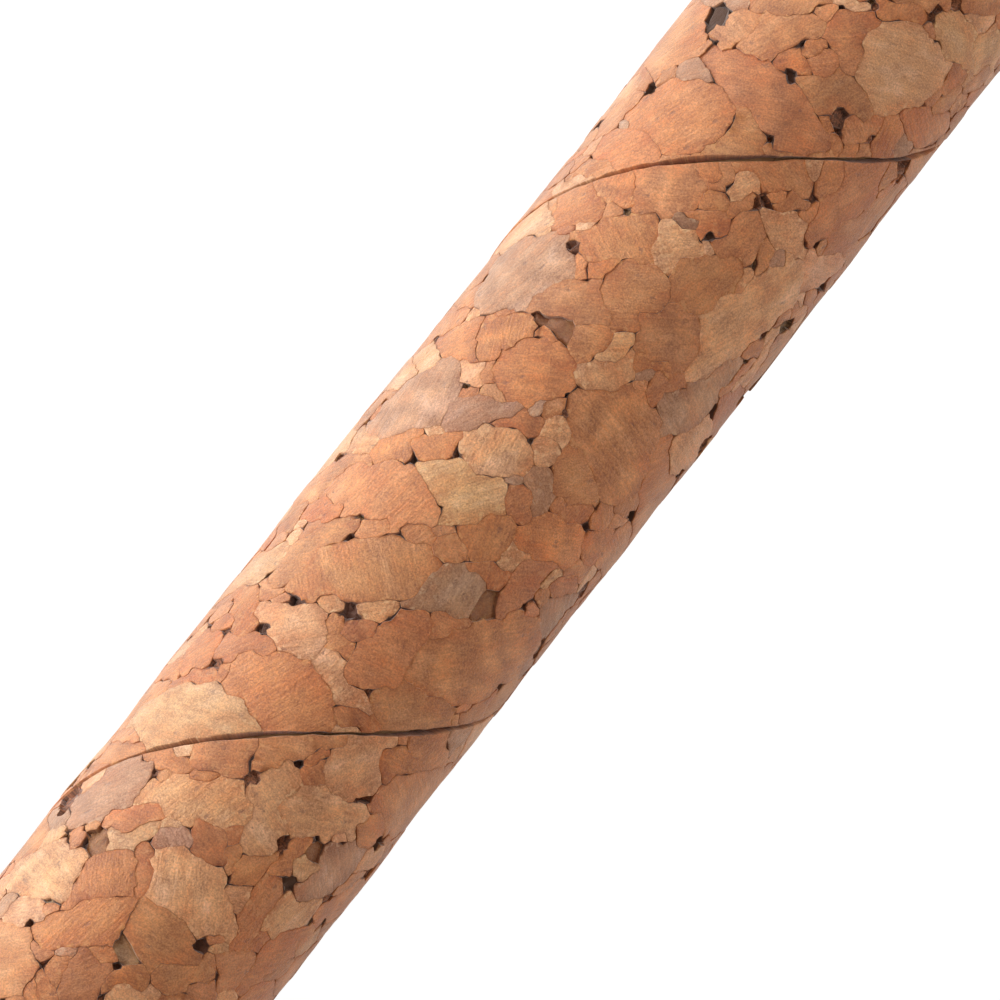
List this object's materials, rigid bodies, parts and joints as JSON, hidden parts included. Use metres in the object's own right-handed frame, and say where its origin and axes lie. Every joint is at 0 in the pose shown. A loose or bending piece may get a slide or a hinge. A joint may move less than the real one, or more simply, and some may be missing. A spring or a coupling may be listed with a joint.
{
  "type": "massage ball",
  "caption": "Hand-held massager: a cork ball rolling in a wooden socket at the head of a straight cork-wrapped handle, with a flat-footed tail knob.",
  "frame": {"origin": "middle of the flat foot under the tail knob, on the surface that the tool stands on", "axes": "+Z along the handle, from the tail knob to the massage ball; +X and +Y square to it, with the two locating pins of each end on X"},
  "size_m": [0.079, 0.079, 0.3026],
  "materials": {
    "cork_wrap": "matte",
    "cork_ball": "matte",
    "beech": "satin",
    "satin_aluminium": "satin",
    "steel": "satin",
    "brass": "satin",
    "seat_plastic": "satin",
    "silicone": "matte"
  },
  "bodies": {
    "handle": {"foot_pad": "silicone", "tail_knob": "beech", "handle_core": "beech", "cork_strip": "cork_wrap", "tail_ferrule": "satin_aluminium", "head_ferrule": "satin_aluminium", "tail_insert": "brass", "head_insert": "brass", "tail_pins": "steel", "head_pins": "steel", "tail_washer": "steel", "head_washer": "steel", "tail_screw": "steel", "head_screw": "steel", "socket_cup": "beech", "thrust_washer": "seat_plastic", "wiper_ring": "silicone", "retaining_ring": "satin_aluminium", "ring_screws": "steel"},
    "seat": {"ball_seat": "seat_plastic"},
    "ball": {"massage_ball": "cork_ball"}
  },
  "joints": [
    {"name": "seat_turn", "type": "hinge", "parent": "handle", "child": "seat", "pos_m": [0, 0, 0.2726], "axis": [0, 0, 1], "continuous": true},
    {"name": "ball_roll", "type": "hinge", "parent": "seat", "child": "ball", "pos_m": [0, 0, 0.2726], "axis": [1, 0, 0], "continuous": true}
  ]
}
